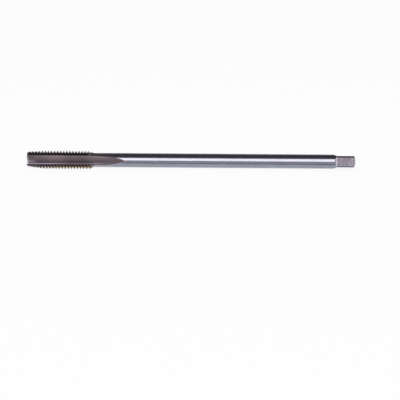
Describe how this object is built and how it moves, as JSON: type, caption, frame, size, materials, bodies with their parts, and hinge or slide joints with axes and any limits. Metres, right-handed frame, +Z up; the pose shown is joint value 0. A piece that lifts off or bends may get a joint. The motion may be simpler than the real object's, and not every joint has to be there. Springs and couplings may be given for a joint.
{
  "type": "thread tap",
  "caption": "Long-shank machine tap: fluted right-hand threaded end with a relieved tapered lead, plain round shank and a drive square",
  "frame": {"origin": "centre of the cutting end face, on the tool axis", "axes": "+X along the tool axis towards the drive square, +Z up as the tap lies on the edges of two lands with one flute straight down, +Y to the side away from the visible flute"},
  "size_m": [0.16, 0.009, 0.008],
  "materials": {
    "tool_steel": "ground"
  },
  "bodies": {
    "root": {"thread_tap": "tool_steel"}
  },
  "joints": []
}
